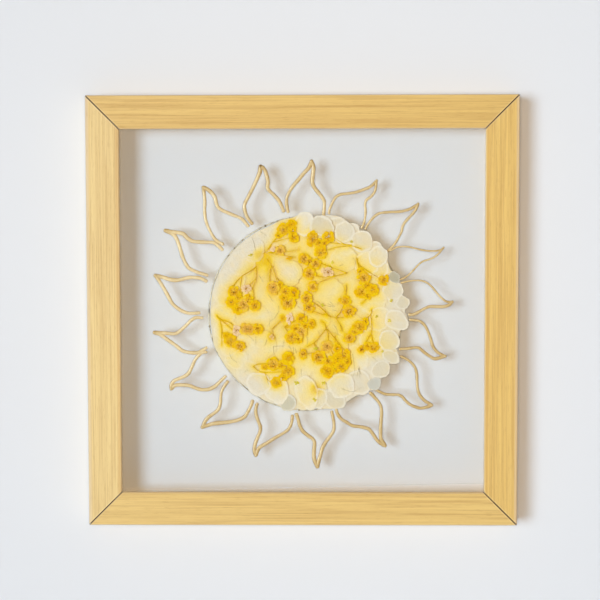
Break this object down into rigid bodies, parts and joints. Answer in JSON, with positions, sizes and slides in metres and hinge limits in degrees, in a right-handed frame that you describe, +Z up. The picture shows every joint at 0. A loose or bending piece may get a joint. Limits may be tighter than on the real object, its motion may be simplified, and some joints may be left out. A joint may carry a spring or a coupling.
{
  "type": "pressed flower frame",
  "caption": "Small square wall frame of pale oak with clear panes, holding a sun of pressed petals and dyed flower sprigs inside drawn gold rays.",
  "frame": {"origin": "middle of the frame's box, at half its width, depth and height", "axes": "-Y is the front that faces the room, +Y the back that faces the wall, +Z up, +X to the viewer's right"},
  "size_m": [0.25, 0.018, 0.25],
  "materials": {
    "oak": "satin lacquered straight-grained pale oak",
    "clear_pane": "clear polished pane",
    "pewter_line": "dried raised paint line, grey, slightly metallic",
    "gold_line": "dried raised paint line, dull gold",
    "pressed_petal": "thin dry petal, matte, cream to pale yellow",
    "dyed_sprig": "dry dyed blossoms and stems, matte, strong yellow with brown specks"
  },
  "bodies": {
    "root": {"pane_back": "clear_pane", "pane_front": "clear_pane", "petal_01": "pressed_petal", "petal_02": "pressed_petal", "petal_03": "pressed_petal", "petal_04": "pressed_petal", "petal_05": "pressed_petal", "petal_06": "pressed_petal", "petal_07": "pressed_petal", "petal_08": "pressed_petal", "petal_09": "pressed_petal", "petal_10": "pressed_petal", "petal_11": "pressed_petal", "petal_12": "pressed_petal", "petal_13": "pressed_petal", "petal_14": "pressed_petal", "petal_15": "pressed_petal", "petal_16": "pressed_petal", "petal_17": "pressed_petal", "petal_18": "pressed_petal", "petal_19": "pressed_petal", "petal_20": "pressed_petal", "petal_bed": "pressed_petal", "rail_bottom": "oak", "rail_left": "oak", "rail_right": "oak", "rail_top": "oak", "ray_01": "gold_line", "ray_02": "gold_line", "ray_03": "gold_line", "ray_04": "gold_line", "ray_05": "gold_line", "ray_06": "gold_line", "ray_07": "gold_line", "ray_08": "gold_line", "ray_09": "gold_line", "ray_10": "gold_line", "ray_11": "gold_line", "ray_12": "gold_line", "ray_13": "gold_line", "ray_14": "gold_line", "ray_15": "gold_line", "ray_16": "gold_line", "ray_17": "gold_line", "ring_line": "pewter_line", "sprig_01": "dyed_sprig", "sprig_02": "dyed_sprig", "sprig_03": "dyed_sprig", "sprig_04": "dyed_sprig", "sprig_05": "dyed_sprig", "sprig_06": "dyed_sprig", "sprig_07": "dyed_sprig", "sprig_08": "dyed_sprig", "sprig_09": "dyed_sprig", "sprig_10": "dyed_sprig", "sprig_11": "dyed_sprig", "sprig_12": "dyed_sprig", "sprig_13": "dyed_sprig", "sprig_14": "dyed_sprig", "sprig_15": "dyed_sprig"}
  },
  "joints": []
}
